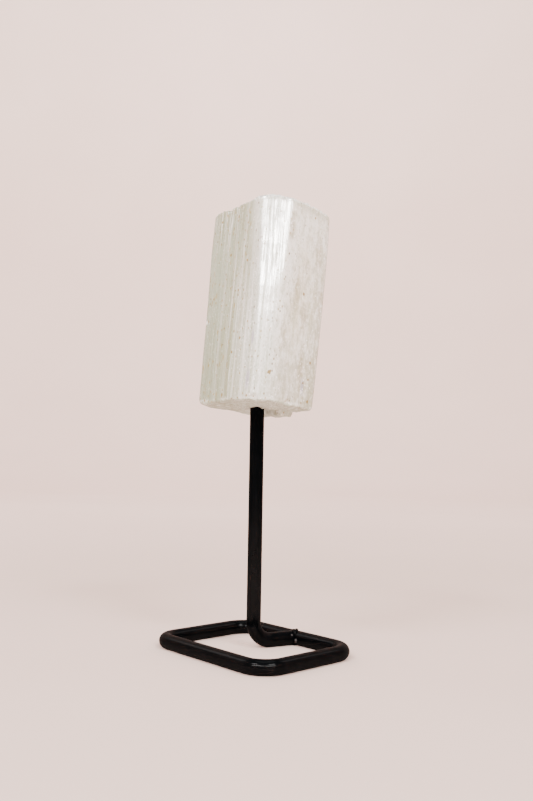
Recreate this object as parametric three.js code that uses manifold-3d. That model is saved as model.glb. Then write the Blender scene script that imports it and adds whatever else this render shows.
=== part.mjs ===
// Fibrous selenite block carried on a bent rod stand with a rounded rectangular base.
// Millimetres, +Z up. The long front side of the base faces -Y, the foot runs to the back side.
import * as THREE from 'three';
import { mergeVertices } from 'three/addons/utils/BufferGeometryUtils.js';
import Module from 'manifold-3d';

const wasm = await Module();
wasm.setup();

// Stand
const ROD_RADIUS = 1.6;
const ROD_SIDES = 20;
const BASE_LENGTH = 35.3;
const BASE_DEPTH = 26.1;
const CORNER_STEPS = 7;
const POST_X = -2.7;
const POST_Y = 2.4;
const POST_BEND_RADIUS = 4.36;
const POST_BEND_STEPS = 8;
const FOOT_ANGLE = THREE.MathUtils.degToRad(74.6);
const FIT_GAP = 0.3;

// The base's corners in turn round the ring: side in x, side in y and bend radius
const BASE_CORNERS = [[1, 1, 5.0], [-1, 1, 5.0], [-1, -1, 4.0], [1, -1, 5.0]];

// The foot stops this far from the centreline of the base's back side, and a saddle is cut in its end
const FOOT_SHORT = 0.9;
const SADDLE_LENGTH = 20;

// Weld flash round the foot's end: place along the foot from its end, and share of the flash radius.
// It is ragged: waves round it as [count, share, turn]
const FLASH_RADIUS = 2.25;
const FLASH_PROFILE = [[-0.5, 0.75], [-0.15, 0.95], [0.2, 1.0], [0.45, 0.86]];
const FLASH_WAVES = [[3, 0.07, 0], [5, 0.05, -1]];

// Block, in its own frame: u to the right, v to the back, w up along the fibres
const ENTRY_HEIGHT = 54.9;
const HOLE_DEPTH = 12.5;
const HOLE_RUNOUT = 4;
const BLOCK_LENGTH = 47.6;
const BLOCK_MIDDLE = [0.8, -1.3];
const FIBRE_AXIS = new THREE.Vector3(-0.0173, 0.1103, 0.9937);
const FRONT_FACE = -10.2;
const RIGHT_FACE = 11.4;
const EDGE_ROUND = 1.25;
const FACES_END = BLOCK_LENGTH - 1.4 * EDGE_ROUND;

// Places of the long edges, as [height, offset] pairs
const LEFT_EDGE = [[0, -10.1], [10, -10.3], [20, -10.4], [36, -11.0], [47.6, -10.8]];
const REAR_EDGE = [[0, 7.4], [10, 7.8], [20, 8.2], [39, 8.6], [47.6, 8.4]];
const CORNER_START = [[0, 8.1], [14, 7.6], [26, 7.7], [47.6, 5.7]];
const CORNER_END = [[0, -6.1], [20, -5.9], [37, -5.2], [47.6, -5.2]];
const BACK_LEFT_SHIFT = [-0.6, 0.5];

// Columns of facets on the five faces: front, cut corner, right, back, left
const FACE_COLUMNS = [28, 9, 18, 17, 13];
const BEND_LENGTH = [1.7, 2.4, 2.2, 1.6, 1.6];
const BEND_COLUMNS = 4;
const ROWS = 19;
const ROUND_STEPS = [0.35, 0.7];
const END_SHARES = [0.3, 0.55, 0.8];

// Bundles of fibres that stand proud or lie back: face, start and width across in mm,
// height out, lower end and upper end along the fibres
const BUNDLES = [
  [0, 1.0, 1.6, 0.16, -2, 49],
  [0, 3.6, 0.8, -0.18, 4, 49],
  [0, 5.1, 1.5, 0.14, -2, 44],
  [0, 7.2, 0.7, -0.22, 10, 49],
  [0, 8.4, 1.3, 0.2, 2, 49],
  [0, 10.4, 0.7, -0.24, -2, 40],
  [0, 11.6, 1.4, 0.18, 8, 49],
  [0, 13.6, 0.7, -0.26, 3, 49],
  [1, 0.6, 1.1, 0.18, 12, 49],
  [1, 2.6, 0.8, -0.16, 20, 49],
  [1, 4.3, 0.9, 0.14, 0, 38],
  [2, 2.2, 1.9, 0.12, 5, 42],
  [2, 5.8, 1.2, -0.14, -2, 30],
  [2, 8.6, 2.0, 0.12, 15, 49],
  [3, 1.5, 4.2, -0.45, -2, 31],
  [3, 7.4, 2.4, 0.3, 12, 49],
  [3, 12.0, 3.0, -0.55, 8, 49],
  [3, 16.4, 1.6, 0.3, -2, 26],
  [4, 1.8, 2.2, -0.35, 16, 49],
  [4, 5.2, 1.6, 0.25, -2, 35],
  [4, 9.0, 3.0, -0.4, -2, 40],
];
const BUNDLE_FLANK = 0.25;
const BUNDLE_FADE = 3;

// The ends are rough where the block was broken off: humps as [u, v, reach in u, reach in v, height]
// and ripples as [height, waves per unit of u, of v, turn]
const UNDERSIDE_HUMPS = [[-7, -6, 6.3, 6.3, -0.45], [9, 0, 4.25, 60, -0.25]];
const UNDERSIDE_RIPPLES = [[0.12, 1.1, 0.7, 0]];
const CROWN_HUMPS = [[8.5, -8, 5.3, 5.3, 0.7], [5, -9.8, 3, 2.5, 0.35]];
const CROWN_RIPPLES = [[0.12, 1.3, -0.5, 0], [0.1, 0, 1.7, 1]];
const CROWN_SLOPE = [0.02, 0.01];
const CROWN_LOW = 0.2;

// Thicker leaf of fibres left standing at the back of the underside
const LEAF_OUTLINE = [
  [-6.2, 6.3], [-3.4, 7.2], [0.6, 7.5], [3.9, 7.4], [4.3, 6.6],
  [4.0, 4.6], [2.6, 3.3], [-0.6, 3.6], [-3.6, 4.4],
];
const LEAF_BOTTOM = -1.35;
const LEAF_TOP = 1.1;
const LEAF_BEVEL = 0.35;

// Chips out of the edges: size of the wedge that is missing, its place and its turn in radians
const CHIPS = [
  [[2.6, 1.6, 1.2], [-5.0, -10.3, 47.5], [0.5, 0.2, 0.2]],
  [[1.6, 1.4, 1.1], [-0.6, -10.2, 47.75], [0.6, -0.3, 0.1]],
  [[1.9, 1.5, 1.0], [3.0, -10.3, 47.9], [0.5, 0.2, -0.2]],
  [[1.2, 1.2, 1.6], [-10.9, -10.7, 18.3], [0.2, 0.3, 0.75]],
  [[1.8, 1.6, 1.2], [11.9, 5.4, 48.4], [0.2, -0.6, 0.2]],
  [[2.4, 1.8, 1.4], [8.6, -9.0, -0.4], [-0.6, 0.3, 0.7]],
  [[1.8, 1.4, 1.2], [6.2, -10.3, -0.2], [-0.7, 0.1, 0.1]],
];

function along(table, height) {
  let i = 1;
  while (i < table.length - 1 && table[i][0] < height) i += 1;
  const [h0, a] = table[i - 1];
  const [h1, b] = table[i];
  return THREE.MathUtils.lerp(a, b, THREE.MathUtils.clamp((height - h0) / (h1 - h0), 0, 1));
}

function toManifold(geometry) {
  geometry.deleteAttribute('normal');
  geometry.deleteAttribute('uv');
  const merged = mergeVertices(geometry, 1e-5);
  const mesh = new wasm.Mesh({
    numProp: 3,
    vertProperties: new Float32Array(merged.attributes.position.array),
    triVerts: new Uint32Array(merged.index.array),
  });
  return new wasm.Manifold(mesh);
}

function toGeometry(solid) {
  const mesh = solid.getMesh();
  const geometry = new THREE.BufferGeometry();
  geometry.setAttribute('position', new THREE.BufferAttribute(mesh.vertProperties, 3));
  geometry.setIndex(new THREE.BufferAttribute(mesh.triVerts, 1));
  const faceted = geometry.toNonIndexed();
  faceted.computeVertexNormals();
  return faceted;
}

// Skin over a stack of closed loops of equal length, closed end to end or capped with a fan
function skin(loops, closed) {
  const count = loops[0].length;
  const points = loops.flat();
  const faces = [];
  const bands = closed ? loops.length : loops.length - 1;
  for (let k = 0; k < bands; k += 1) {
    const next = (k + 1) % loops.length;
    for (let i = 0; i < count; i += 1) {
      const j = (i + 1) % count;
      faces.push(k * count + i, k * count + j, next * count + j);
      faces.push(k * count + i, next * count + j, next * count + i);
    }
  }
  if (!closed) {
    for (const k of [0, loops.length - 1]) {
      const middle = new THREE.Vector3();
      loops[k].forEach((p) => middle.add(p));
      points.push(middle.divideScalar(count));
      for (let i = 0; i < count; i += 1) {
        const j = (i + 1) % count;
        const [a, b] = k === 0 ? [j, i] : [i, j];
        faces.push(points.length - 1, k * count + a, k * count + b);
      }
    }
  }
  const geometry = new THREE.BufferGeometry().setFromPoints(points);
  geometry.setIndex(faces);
  return geometry;
}

// Round rod along a flat path: each station has a place, a sideways direction and the path's plane
function rod(stations, planeNormal, closed) {
  const loops = stations.map(([place, side]) => {
    const loop = [];
    for (let i = 0; i < ROD_SIDES; i += 1) {
      const angle = ((i + 0.5) / ROD_SIDES) * Math.PI * 2;
      loop.push(place.clone()
        .addScaledVector(side, Math.cos(angle) * ROD_RADIUS)
        .addScaledVector(planeNormal, -Math.sin(angle) * ROD_RADIUS));
    }
    return loop;
  });
  return toManifold(skin(loops, closed));
}

const rodHeight = ROD_RADIUS * Math.cos(Math.PI / ROD_SIDES);
const footDirection = new THREE.Vector3(Math.cos(FOOT_ANGLE), Math.sin(FOOT_ANGLE), 0);
const up = new THREE.Vector3(0, 0, 1);
const footNormal = new THREE.Vector3().crossVectors(footDirection, up);
const footStart = new THREE.Vector3(POST_X, POST_Y, rodHeight);
const footLength = (BASE_DEPTH / 2 - FOOT_SHORT - POST_Y) / footDirection.y;

function baseFrame() {
  const stations = [];
  BASE_CORNERS.forEach(([sideX, sideY, radius], corner) => {
    const middleX = sideX * (BASE_LENGTH / 2 - radius);
    const middleY = sideY * (BASE_DEPTH / 2 - radius);
    for (let i = 0; i <= CORNER_STEPS; i += 1) {
      const angle = (corner + i / CORNER_STEPS) * Math.PI / 2;
      const side = new THREE.Vector3(Math.cos(angle), Math.sin(angle), 0);
      const place = new THREE.Vector3(middleX, middleY, rodHeight);
      stations.push([place.addScaledVector(side, radius), side]);
    }
  });
  return rod(stations, up, true);
}

function postStations() {
  const stations = [];
  const side = footDirection.clone().negate();
  stations.push([new THREE.Vector3(POST_X, POST_Y, ENTRY_HEIGHT + HOLE_DEPTH - FIT_GAP), side]);
  for (let i = 0; i <= POST_BEND_STEPS; i += 1) {
    const angle = (i / POST_BEND_STEPS) * Math.PI / 2;
    const outward = side.clone().multiplyScalar(Math.cos(angle)).addScaledVector(up, -Math.sin(angle));
    const place = footStart.clone()
      .addScaledVector(footDirection, POST_BEND_RADIUS)
      .addScaledVector(up, POST_BEND_RADIUS)
      .addScaledVector(outward, POST_BEND_RADIUS);
    stations.push([place, outward]);
  }
  stations.push([footStart.clone().addScaledVector(footDirection, footLength), up.clone().negate()]);
  return stations;
}

// Flash squeezed out round the foot's end, cut off level where it meets the ground
function weldFlash() {
  const loops = FLASH_PROFILE.map(([place, share], row) => {
    const loop = [];
    for (let i = 0; i < ROD_SIDES; i += 1) {
      const angle = ((i + 0.5) / ROD_SIDES) * Math.PI * 2;
      let ragged = 1;
      FLASH_WAVES.forEach(([count, height, turn]) => {
        ragged += height * Math.sin(angle * count + turn + row * 0.5);
      });
      const radius = FLASH_RADIUS * share * ragged;
      loop.push(footStart.clone()
        .addScaledVector(footDirection, footLength + place)
        .addScaledVector(footNormal, Math.sin(angle) * radius)
        .addScaledVector(up, Math.max(-rodHeight, radius * Math.cos(angle))));
    }
    return loop;
  });
  return toManifold(skin(loops, false));
}

// Room for the base's back side, a gap wider than its rod
function saddle() {
  const radius = ROD_RADIUS + FIT_GAP;
  const seat = new THREE.CylinderGeometry(radius, radius, SADDLE_LENGTH, ROD_SIDES * 2);
  seat.rotateZ(Math.PI / 2);
  seat.translate(0, BASE_DEPTH / 2, rodHeight);
  return toManifold(seat);
}

// Upright with a quarter bend into the foot, fused with the weld flash round the foot's end
function post() {
  return rod(postStations(), footNormal, false).add(weldFlash()).subtract(saddle());
}

// Section of the block at a height, as columns: place, face and distance across the face
function outline(height) {
  const left = along(LEFT_EDGE, height);
  const rear = along(REAR_EDGE, height);
  const corners = [
    [left, FRONT_FACE],
    [along(CORNER_START, height), FRONT_FACE],
    [RIGHT_FACE, along(CORNER_END, height)],
    [RIGHT_FACE, rear],
    [left + BACK_LEFT_SHIFT[0], rear + BACK_LEFT_SHIFT[1]],
  ].map(([u, v]) => new THREE.Vector2(u, v));
  const columns = [];
  corners.forEach((corner, face) => {
    const before = corners[(face + 4) % 5];
    const after = corners[(face + 1) % 5];
    const bend = BEND_LENGTH[face];
    const start = corner.clone().add(before.clone().sub(corner).setLength(bend));
    const end = corner.clone().add(after.clone().sub(corner).setLength(bend));
    for (let i = 0; i < BEND_COLUMNS; i += 1) {
      const t = i / BEND_COLUMNS;
      const place = start.clone().lerp(corner, t).lerp(corner.clone().lerp(end, t), t);
      columns.push({ place, face, across: -1 });
    }
    const nextBend = BEND_LENGTH[(face + 1) % 5];
    const stop = after.clone().add(corner.clone().sub(after).setLength(nextBend));
    for (let i = 0; i <= FACE_COLUMNS[face]; i += 1) {
      const place = end.clone().lerp(stop, i / (FACE_COLUMNS[face] + 1));
      columns.push({ place, face, across: place.distanceTo(corner) - bend });
    }
  });
  return columns;
}

function bundleOffset(face, across, height) {
  let offset = 0;
  for (const [where, start, width, out, low, high] of BUNDLES) {
    const inside = Math.min(across - start, start + width - across);
    const ends = Math.min(height - low, high - height);
    if (where === face && inside > 0 && ends > 0) {
      offset += out * Math.min(1, inside / BUNDLE_FLANK) * Math.min(1, ends / BUNDLE_FADE);
    }
  }
  return offset;
}

function roughness(u, v, humps, ripples) {
  let height = 0;
  for (const [u0, v0, reachU, reachV, rise] of humps) {
    height += rise * Math.exp(-(((u - u0) / reachU) ** 2) - ((v - v0) / reachV) ** 2);
  }
  for (const [rise, wavesU, wavesV, turn] of ripples) {
    height += rise * Math.sin(u * wavesU + v * wavesV + turn);
  }
  return height;
}

// Heights of the underside and of the top
function underside(u, v) {
  return roughness(u, v, UNDERSIDE_HUMPS, UNDERSIDE_RIPPLES);
}

function crown(u, v) {
  const slope = CROWN_SLOPE[0] * u + CROWN_SLOPE[1] * v;
  return BLOCK_LENGTH - CROWN_LOW + slope + roughness(u, v, CROWN_HUMPS, CROWN_RIPPLES);
}

// One loop of the block's skin, drawn in by the inset, with each point raised by the surface's height
function blockLoop(height, inset, surface) {
  const columns = outline(height);
  const middle = new THREE.Vector2(...BLOCK_MIDDLE);
  return columns.map(({ place, face, across }, i) => {
    const before = columns[(i + columns.length - 1) % columns.length].place;
    const after = columns[(i + 1) % columns.length].place;
    const normal = new THREE.Vector2(after.y - before.y, before.x - after.x).normalize();
    const point = place.clone().addScaledVector(normal, bundleOffset(face, across, height));
    point.sub(middle);
    point.multiplyScalar(Math.max(0, 1 - inset / point.length()));
    point.add(middle);
    return new THREE.Vector3(point.x, point.y, height + surface(point.x, point.y));
  });
}

function blockBody() {
  const loops = [];
  const flat = () => 0;
  const shrink = (loop, share, surface) => loop.map((p) => {
    const u = THREE.MathUtils.lerp(BLOCK_MIDDLE[0], p.x, share);
    const v = THREE.MathUtils.lerp(BLOCK_MIDDLE[1], p.y, share);
    return new THREE.Vector3(u, v, surface(u, v));
  });
  const foot = blockLoop(0, EDGE_ROUND, underside);
  END_SHARES.forEach((share) => loops.push(shrink(foot, share, underside)));
  loops.push(foot);
  ROUND_STEPS.forEach((t) => {
    const inset = EDGE_ROUND * (1 - Math.sin(t * Math.PI / 2));
    const rise = EDGE_ROUND * (1 - Math.cos(t * Math.PI / 2));
    loops.push(blockLoop(rise, inset, (u, v) => underside(u, v) * (1 - t)));
  });
  for (let row = 0; row < ROWS; row += 1) {
    const height = THREE.MathUtils.lerp(EDGE_ROUND, FACES_END, row / (ROWS - 1));
    loops.push(blockLoop(height, 0, flat));
  }
  ROUND_STEPS.forEach((t) => {
    const inset = EDGE_ROUND * (1 - Math.cos(t * Math.PI / 2));
    const rise = FACES_END + EDGE_ROUND * Math.sin(t * Math.PI / 2);
    loops.push(blockLoop(rise, inset, (u, v) => (crown(u, v) - BLOCK_LENGTH + CROWN_LOW) * t));
  });
  const head = blockLoop(BLOCK_LENGTH, EDGE_ROUND, (u, v) => crown(u, v) - BLOCK_LENGTH);
  loops.push(head);
  END_SHARES.toReversed().forEach((share) => loops.push(shrink(head, share, crown)));
  return toManifold(skin(loops, false));
}

function leaf() {
  const shape = new THREE.Shape(LEAF_OUTLINE.map(([u, v]) => new THREE.Vector2(u, v)));
  const geometry = new THREE.ExtrudeGeometry(shape, {
    depth: LEAF_TOP - LEAF_BOTTOM - 2 * LEAF_BEVEL,
    bevelEnabled: true,
    bevelThickness: LEAF_BEVEL,
    bevelSize: LEAF_BEVEL,
    bevelOffset: -LEAF_BEVEL,
    bevelSegments: 1,
  });
  geometry.translate(0, 0, LEAF_BOTTOM + LEAF_BEVEL);
  return toManifold(geometry);
}

function chip(size, place, turn) {
  const geometry = new THREE.BoxGeometry(...size);
  geometry.applyMatrix4(new THREE.Matrix4().makeRotationFromEuler(new THREE.Euler(...turn)));
  geometry.translate(...place);
  return toManifold(geometry);
}

// Turns the block so that its fibres follow the fibre axis, with its origin where the post enters
function lean(block) {
  const axis = FIBRE_AXIS.clone().normalize();
  const right = new THREE.Vector3(1, 0, 0).addScaledVector(axis, -axis.x).normalize();
  const back = new THREE.Vector3().crossVectors(axis, right);
  const place = new THREE.Matrix4().makeBasis(right, back, axis);
  place.setPosition(POST_X, POST_Y, ENTRY_HEIGHT);
  return block.transform(place.elements);
}

// Upright blind hole for the post, cut clear through the rough underside
function hole() {
  const radius = ROD_RADIUS + FIT_GAP;
  const bore = new THREE.CylinderGeometry(radius, radius, HOLE_DEPTH + HOLE_RUNOUT, ROD_SIDES);
  bore.rotateX(Math.PI / 2);
  bore.translate(POST_X, POST_Y, ENTRY_HEIGHT + (HOLE_DEPTH - HOLE_RUNOUT) / 2);
  return toManifold(bore);
}

function selenite() {
  let block = blockBody().add(leaf());
  for (const [size, place, turn] of CHIPS) {
    block = block.subtract(chip(size, place, turn));
  }
  return lean(block).subtract(hole());
}

const stone = new THREE.MeshStandardMaterial({ color: '#d9d6cb', roughness: 0.42, metalness: 0 });
const blackPaint = new THREE.MeshStandardMaterial({ color: '#121213', roughness: 0.38, metalness: 0.1 });

const part = new THREE.Group();
part.name = 'selenite_on_stand';
for (const [name, solid, material] of [
  ['selenite', selenite(), stone],
  ['base_frame', baseFrame(), blackPaint],
  ['post', post(), blackPaint],
]) {
  const mesh = new THREE.Mesh(toGeometry(solid), material);
  mesh.name = name;
  part.add(mesh);
}

// Origin at the middle of the footprint, with the underside of the base on the ground
const extent = new THREE.Box3().setFromObject(part);
const middle = extent.getCenter(new THREE.Vector3());
part.children.forEach((mesh) => mesh.geometry.translate(-middle.x, -middle.y, -extent.min.z));

export default part;
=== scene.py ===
import math
from types import SimpleNamespace

import bpy
import numpy as np
from mathutils import Matrix, Vector


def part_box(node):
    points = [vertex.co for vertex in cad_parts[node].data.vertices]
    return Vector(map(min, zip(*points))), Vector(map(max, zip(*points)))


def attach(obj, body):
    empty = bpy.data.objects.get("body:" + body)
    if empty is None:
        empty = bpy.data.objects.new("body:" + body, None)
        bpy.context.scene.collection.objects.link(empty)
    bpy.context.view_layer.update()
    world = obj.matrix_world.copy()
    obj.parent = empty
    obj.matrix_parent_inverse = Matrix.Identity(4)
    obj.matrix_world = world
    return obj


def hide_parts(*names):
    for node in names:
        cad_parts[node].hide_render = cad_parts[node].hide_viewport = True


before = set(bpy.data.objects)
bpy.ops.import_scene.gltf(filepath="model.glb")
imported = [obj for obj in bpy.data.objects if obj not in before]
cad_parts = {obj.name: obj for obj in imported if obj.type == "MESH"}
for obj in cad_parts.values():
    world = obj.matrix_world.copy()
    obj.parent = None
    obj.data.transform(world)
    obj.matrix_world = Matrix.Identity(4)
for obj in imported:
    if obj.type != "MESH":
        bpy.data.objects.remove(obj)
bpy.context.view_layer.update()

# Lengths and places are in millimetres, unless a line says metres
MM = 0.001
UP = np.array([0, 0, 1.0])
rng = np.random.default_rng(41)

# Middle of the base, which the stand, the block and the camera are placed from
base_low, base_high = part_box("base_frame")
BASE_MIDDLE = np.array([(base_low[0] + base_high[0]) / 2, (base_low[1] + base_high[1]) / 2, 0]) / MM

# Base ring: the centreline's length and depth, its corners as way in x, way in y and radius of the
# bend, and dents in the rod as place, reach and depth
ROD_RADIUS = 1.66
ROD_HEIGHT = 1.58
ROD_SIDES = 40
BASE_LENGTH = 35.3
BASE_DEPTH = 26.1
BASE_CORNERS = [[1, 1, 5.0], [-1, 1, 5.0], [-1, -1, 4.0], [1, -1, 5.0]]
BASE_BEND_STEPS = 18
BASE_SIDE_STEPS = 24
BASE_DENTS = [
    ((16.2, -13.2, 1.9), 0.55, 0.10),
    ((17.1, -12.2, 1.8), 0.5, 0.09),
    ((17.9, -11.0, 1.9), 0.6, 0.10),
    ((-14.6, 10.5, 2.3), 0.6, 0.12),
    ((-13.4, 11.4, 2.3), 0.6, 0.10),
]

# Post and foot: the foot stops a little short of the centreline of the base's back side
POST_PLACE = np.array([-2.7, 2.4, 0.0])
POST_TOP = 67.1
POST_BEND_RADIUS = 4.36
POST_STEPS = 60
POST_BEND_STEPS = 20
FOOT_STEPS = 12
FOOT_SHORT = 0.9
FOOT_ANGLE = math.radians(74.6)
FOOT_WAY = np.array([math.cos(FOOT_ANGLE), math.sin(FOOT_ANGLE), 0])
FOOT_ACROSS = np.cross(FOOT_WAY, UP)
FOOT_LENGTH = (BASE_DEPTH / 2 - FOOT_SHORT - POST_PLACE[1]) / FOOT_WAY[1]
FOOT_START = POST_PLACE + UP * ROD_HEIGHT
FOOT_END = FOOT_START + FOOT_WAY * FOOT_LENGTH

# Weld: the flash as place along the foot from its end and share of its radius, the beads as place
# along the foot, turn round it from the top, distance out and reach in three directions, and the
# waves of both as rise, number round, drift along and turn
FLASH_RADIUS = 2.0
FLASH_SIDES = 48
FLASH_PROFILE = [(-0.45, 0.70), (-0.25, 0.88), (0.0, 0.97), (0.3, 1.0), (0.6, 0.97), (0.85, 0.85)]
FLASH_WAVES = [(0.06, 3, 2, 0), (0.05, 5, 0, -1), (0.03, 11, 5, 0)]
BEAD_ROWS = 10
BEAD_SIDES = 16
BEAD_WAVES = [(0.10, 2, 1, 0), (0.06, 3, -1, 0)]
WELD_BEADS = [
    (1.00, 0.15, 1.72, (0.42, 0.36, 0.40)),
    (-0.90, 1.00, 1.60, (0.32, 0.32, 0.30)),
    (-0.15, 1.66, 2.15, (0.42, 0.44, 0.60)),
    (0.30, 2.45, 1.55, (0.36, 0.40, 0.36)),
]

# Spots on the beads where the paint is thin: place along the foot, turn, distance out and radius
BARE_SPOTS = [
    (-0.95, 1.00, 1.90, 0.30),
    (-0.40, 1.60, 2.45, 0.34),
    (-0.35, 1.85, 2.50, 0.28),
]

# Block, in its own frame: u to the right, v to the back, w up along the fibres
ENTRY_HEIGHT = 54.9
BLOCK_LENGTH = 47.6
BLOCK_MIDDLE = np.array([0.8, -1.3])
FIBRE_AXIS = np.array([-0.0173, 0.1103, 0.9937])

# Drilled hole, with the depths of its loops
HOLE_RADIUS = 1.72
HOLE_DEPTH = 12.5
HOLE_LOOPS = [HOLE_DEPTH, HOLE_DEPTH * 0.66, HOLE_DEPTH * 0.33, 0.6]

# Long edges as height and place: the left edge and the cut corner's start in u, the rear edge and the
# corner's end in v. The rear left corner stands out beyond the left and rear edges
FRONT_FACE = -10.2
RIGHT_FACE = 11.4
LEFT_EDGE = [[0, -10.1], [10, -10.3], [20, -10.4], [36, -11.0], [47.6, -10.8]]
REAR_EDGE = [[0, 7.4], [10, 7.8], [20, 8.2], [39, 8.6], [47.6, 8.4]]
CORNER_START = [[0, 8.1], [14, 7.6], [26, 7.7], [47.6, 5.7]]
CORNER_END = [[0, -6.1], [20, -5.9], [28, -5.4], [36, -4.7], [47.6, -4.6]]
REAR_LEFT_OUT = 0.6
REAR_LEFT_BACK = 0.5

# Reach of each long edge's rounding on the face before it and on the face after it, and the columns
# of the mesh on the faces: front, cut corner, right, back and left
BEND_BEFORE = [1.7, 5.0, 2.2, 1.6, 1.6]
BEND_AFTER = [1.7, 2.4, 2.2, 1.6, 1.6]
BEND_COLUMNS = 8
FACE_COLUMNS = [170, 52, 90, 52, 40]
ROWS = 155

# Rounded top and bottom edges: the higher the sharpness, the squarer the edge
EDGE_ROUND = 1.25
EDGE_ROWS = 12
EDGE_SHARPNESS = 6.0
CORNER_SHARPNESS = 2.2
WORN_CORNERS = [(-10.7, -10.2), (11.4, 8.2)]
WORN_REACH = 3.0
TOP_START = BLOCK_LENGTH - 1.4 * EDGE_ROUND

# Kinds of loop up the block: the way its edge turns, and how rough the broken fibres leave it
LOOP_KINDS = {
    "under": (-1, 0.03),
    "foot": (-1, 0.04),
    "face": (0, 0.0),
    "head": (1, 0.13),
    "crown": (1, 0.13),
}
UNDERSIDE_SHARES = np.concatenate([np.linspace(0.0, 0.5, 7), np.linspace(0.54, 0.98, 14)])
CROWN_SHARES = np.linspace(0.93, 0.0, 14)

# Bundles of fibres: face in the order above, start and width across it, height out, lower and upper end
BUNDLES = [
    [0, 1.0, 1.6, 0.16, -2, 49],
    [0, 3.6, 0.8, -0.18, 4, 49],
    [0, 5.1, 1.5, 0.14, -2, 44],
    [0, 7.2, 0.7, -0.22, 10, 49],
    [0, 8.4, 1.3, 0.2, 2, 49],
    [0, 10.4, 0.7, -0.24, -2, 40],
    [0, 11.6, 1.4, 0.18, 8, 49],
    [0, 13.6, 0.7, -0.26, 3, 49],
    [1, 0.6, 1.1, 0.18, 12, 49],
    [1, 2.6, 0.8, -0.06, 20, 49],
    [1, 4.3, 0.9, 0.14, 0, 38],
    [2, 2.2, 1.9, 0.12, 5, 42],
    [2, 5.8, 1.2, -0.14, -2, 30],
    [2, 8.6, 2.0, 0.12, 15, 49],
    [3, 1.5, 4.2, -0.45, -2, 31],
    [3, 7.4, 2.4, 0.3, 12, 49],
    [3, 12.0, 3.0, -0.55, 8, 49],
    [3, 16.4, 1.6, 0.3, -2, 26],
    [4, 1.8, 2.2, -0.35, 16, 49],
    [4, 5.2, 1.6, 0.25, -2, 35],
    [4, 9.0, 3.0, -0.4, -2, 40],
]

# On the first three faces the bundles are worn soft and show only part of their height
BUNDLE_SHARE = 0.4
BUNDLE_FLANK = 0.35
BUNDLE_FADE = 3.0
FACE_END_FADE = 0.8

# The ends are rough where the block was broken off: humps as u, v, reach in u, reach in v, height
# and ripples as height, waves per unit of u, of v, turn
UNDERSIDE_HUMPS = [[-7, -6, 6.3, 6.3, -0.45], [9, 0, 4.25, 60, -0.25], [1.75, -0.05, 0.6, 0.6, -0.4]]
UNDERSIDE_RIPPLES = [[0.12, 1.1, 0.7, 0]]
CROWN_HUMPS = [
    [8.5, -8, 5.3, 5.3, 0.8],
    [5.5, -9.8, 2.6, 2.5, 0.5],
    [11.4, 3, 4, 6, 0.45],
    [-5, -10, 6, 4, -0.6],
    [-10.9, -10.2, 1.8, 2.5, -0.5],
]
CROWN_RIPPLES = [[0.12, 1.3, -0.5, 0], [0.1, 0, 1.7, 1]]
CROWN_SLOPE = [0.02, 0.01]

# Leaf of fibres left at the back of the underside: its front edge is an arc round a place in u, its
# sides stand at a place in u, and it grows a little thicker to the right
LEDGE_FRONT = 3.3
LEDGE_MIDDLE = 2.0
LEDGE_CURVE_LEFT = 0.05
LEDGE_CURVE_RIGHT = 0.06
LEDGE_RIGHT = 4.25
LEDGE_LEFT = -6.0
LEDGE_LEFT_SLOPE = 0.3
LEDGE_STEP = 0.3
LEDGE_THICKNESS = 1.3
LEDGE_GROWTH = 0.05

# Small chips: middle, reach across, reach along the fibres and depth
CHIPS = [
    (-4.5, -10.3, 46.9, 1.0, 0.8, 0.45),
    (-1.4, -10.2, 47.0, 0.7, 0.7, 0.40),
    (2.6, -10.2, 47.1, 0.8, 0.6, 0.35),
    (-10.9, -10.4, 18.3, 0.6, 0.7, 0.45),
    (-11.0, -10.4, 31.2, 0.5, 0.9, 0.35),
    (11.6, 5.4, 47.6, 1.0, 0.6, 0.4),
    (8.6, -9.2, 0.2, 1.5, 0.9, 0.55),
    (5.6, -10.3, 0.3, 1.2, 0.6, 0.4),
    (11.5, -1.0, 0.4, 1.3, 0.6, 0.35),
]
CHIP_STEEPNESS = 2.2

# Lattice for noise: once round the block, so that it meets itself at the front left edge, and from
# below the underside to above the crown
GIRTH = 82.0
LATTICE_LENGTH = 70
LATTICE_BELOW = 10
STEP_STEEPNESS = 5

# Relief of the faces and ends: height, step across, step along the fibres, and whether it is stepped
FIBRE_LAYERS = [
    (0.014, 0.30, 22, False),
    (0.008, 0.18, 12, False),
    (0.022, 1.1, 26, False),
    (0.012, 0.7, 7, True),
]
WAVE_LAYERS = [(0.05, 4.5, 8, False), (0.010, 1.4, 1.6, False)]
HACKLE_LAYERS = [(1.0, 0.45, 0.45, False), (1.2, 0.55, 0.9, True)]
HACKLE_SHIFT = (20, 12)
RELIEF_SINK = 0.03

# Stretch round the block where the fibres are calmer, the width it fades over, how much calmer they
# are, and the slope of the line that parts the front and right faces from the back and left ones
CALM_PART = (3.5, 24)
CALM_FADE = 4
CALM_SHARE = 0.75
DIAGONAL = 0.95

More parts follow.
